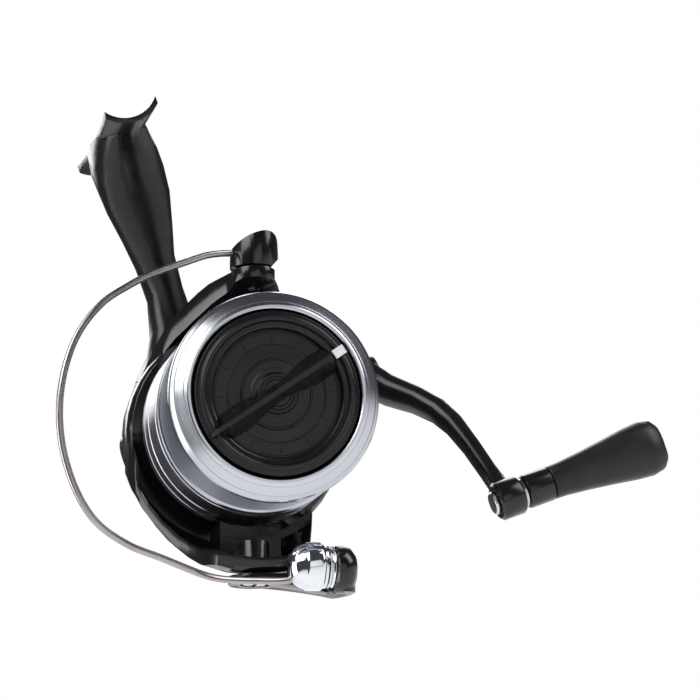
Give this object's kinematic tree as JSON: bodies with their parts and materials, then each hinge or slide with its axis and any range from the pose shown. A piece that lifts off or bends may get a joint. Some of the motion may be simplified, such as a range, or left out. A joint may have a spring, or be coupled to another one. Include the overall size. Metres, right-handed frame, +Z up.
{
  "type": "spinning reel",
  "caption": "Front-drag spinning reel with a gear case on a stem and foot, a two-armed rotor with wire bail and line roller, a skirted metal spool and a cranked handle.",
  "frame": {"origin": "middle of the rod seat, on the flat strip along the top of the foot", "axes": "+Z up out of the rod seat, away from the reel; +Y towards the back of the reel, along the spool axis, so the spool faces -Y; +X to the handle side"},
  "size_m": [0.1515, 0.1171, 0.1322],
  "materials": {
    "body_black": "semi-gloss black moulded",
    "rotor_black": "gloss black moulded",
    "cover_dark": "satin dark moulded",
    "handle_black": "gloss black painted metal",
    "grip_dark": "matte dark grip",
    "drag_black": "satin black moulded",
    "spool_silver": "turned and polished",
    "chrome": "polished",
    "steel": "fine ground steel",
    "wire_steel": "drawn stainless wire",
    "gear_metal": "die-cast zinc",
    "brass": "machined brass",
    "felt": "carbon felt",
    "nylon": "nylon"
  },
  "bodies": {
    "frame": {"reel_body": "body_black", "side_cover": "body_black", "rear_cover": "cover_dark", "side_cover_screw_1": "steel", "side_cover_screw_2": "steel", "side_cover_screw_3": "steel", "drive_bearing_right": "steel", "drive_bearing_left": "steel", "pinion_bearing": "steel", "anti_reverse_clutch": "steel", "pinion_rear_bush": "brass", "slider_guide_rod": "steel", "oscillation_gear_post": "steel"},
    "handle": {"drive_gear": "gear_metal", "drive_shaft": "steel", "oscillation_drive_gear": "brass", "handle_arm": "handle_black", "handle_rod": "steel", "handle_cap": "handle_black", "knob_shaft": "steel"},
    "handle_knob": {"knob_washer": "steel", "knob_collar": "handle_black", "knob_grip": "grip_dark"},
    "oscillator": {"oscillation_gear": "nylon"},
    "rotor_assembly": {"rotor": "rotor_black", "bail_arm_cover_top": "rotor_black", "bail_arm_cover_bottom": "rotor_black", "rotor_nut": "steel", "rotor_nut_lock": "steel", "pinion_gear": "brass", "clutch_sleeve": "steel", "balance_weight": "gear_metal", "bail_spring": "steel", "bail_spring_guide": "steel", "bail_pivot_screw_top": "steel", "bail_pivot_screw_bottom": "steel", "arm_cover_screw_top": "steel", "arm_cover_screw_bottom": "steel"},
    "bail": {"bail_holder": "rotor_black", "bail_wire": "wire_steel", "bail_lever": "rotor_black", "roller_cover": "chrome", "roller_screw": "steel"},
    "roller": {"line_roller": "chrome"},
    "main_shaft_assembly": {"main_shaft": "steel", "slider_block": "nylon", "spool_click_wheel": "brass"},
    "spool_assembly": {"spool": "spool_silver", "drag_washer_rear": "felt", "drag_disc_rear": "steel", "drag_washer_front": "felt", "drag_disc_front": "steel", "drag_retaining_ring": "steel", "spool_click_pawl": "nylon"},
    "drag_knob_assembly": {"drag_knob": "drag_black", "drag_knob_inlay": "spool_silver", "drag_nut": "brass", "drag_spring": "steel"}
  },
  "joints": [
    {"name": "handle_turn", "type": "hinge", "parent": "frame", "child": "handle", "pos_m": [0, 0.0254, -0.0728], "axis": [1, 0, 0], "continuous": true},
    {"name": "rotor_spin", "type": "hinge", "parent": "frame", "child": "rotor_assembly", "pos_m": [0, -0.0076, -0.0798], "axis": [0, 1, 0], "continuous": true},
    {"name": "oscillation_spin", "type": "hinge", "parent": "frame", "child": "oscillator", "pos_m": [0, 0.0299, -0.0876], "axis": [1, 0, 0], "continuous": true},
    {"name": "knob_spin", "type": "hinge", "parent": "handle", "child": "handle_knob", "pos_m": [0.08, -0.01356, -0.11777], "axis": [1, 0, 0], "continuous": true},
    {"name": "bail_open", "type": "hinge", "parent": "rotor_assembly", "child": "bail", "pos_m": [0, -0.0326, -0.0798], "axis": [0.3584, 0, 0.9336], "range_deg": [0, 120]},
    {"name": "line_roller_spin", "type": "hinge", "parent": "bail", "child": "roller", "pos_m": [0.00051, -0.0496, -0.12145], "axis": [0.9336, 0, -0.3584], "continuous": true},
    {"name": "spool_stroke", "type": "slide", "parent": "frame", "child": "main_shaft_assembly", "axis": [0, 1, 0], "range_m": [-0.008, 0.004]},
    {"name": "spool_drag", "type": "hinge", "parent": "main_shaft_assembly", "child": "spool_assembly", "pos_m": [0, -0.0456, -0.0798], "axis": [0, 1, 0], "continuous": true},
    {"name": "drag_knob_turn", "type": "hinge", "parent": "main_shaft_assembly", "child": "drag_knob_assembly", "pos_m": [0, -0.0596, -0.0798], "axis": [0, 1, 0], "range_deg": [-720, 180]}
  ],
  "couplings": [
    {"joint": "rotor_spin", "follows": "handle_turn", "ratio": 5.1429},
    {"joint": "oscillation_spin", "follows": "handle_turn", "ratio": -0.5}
  ]
}
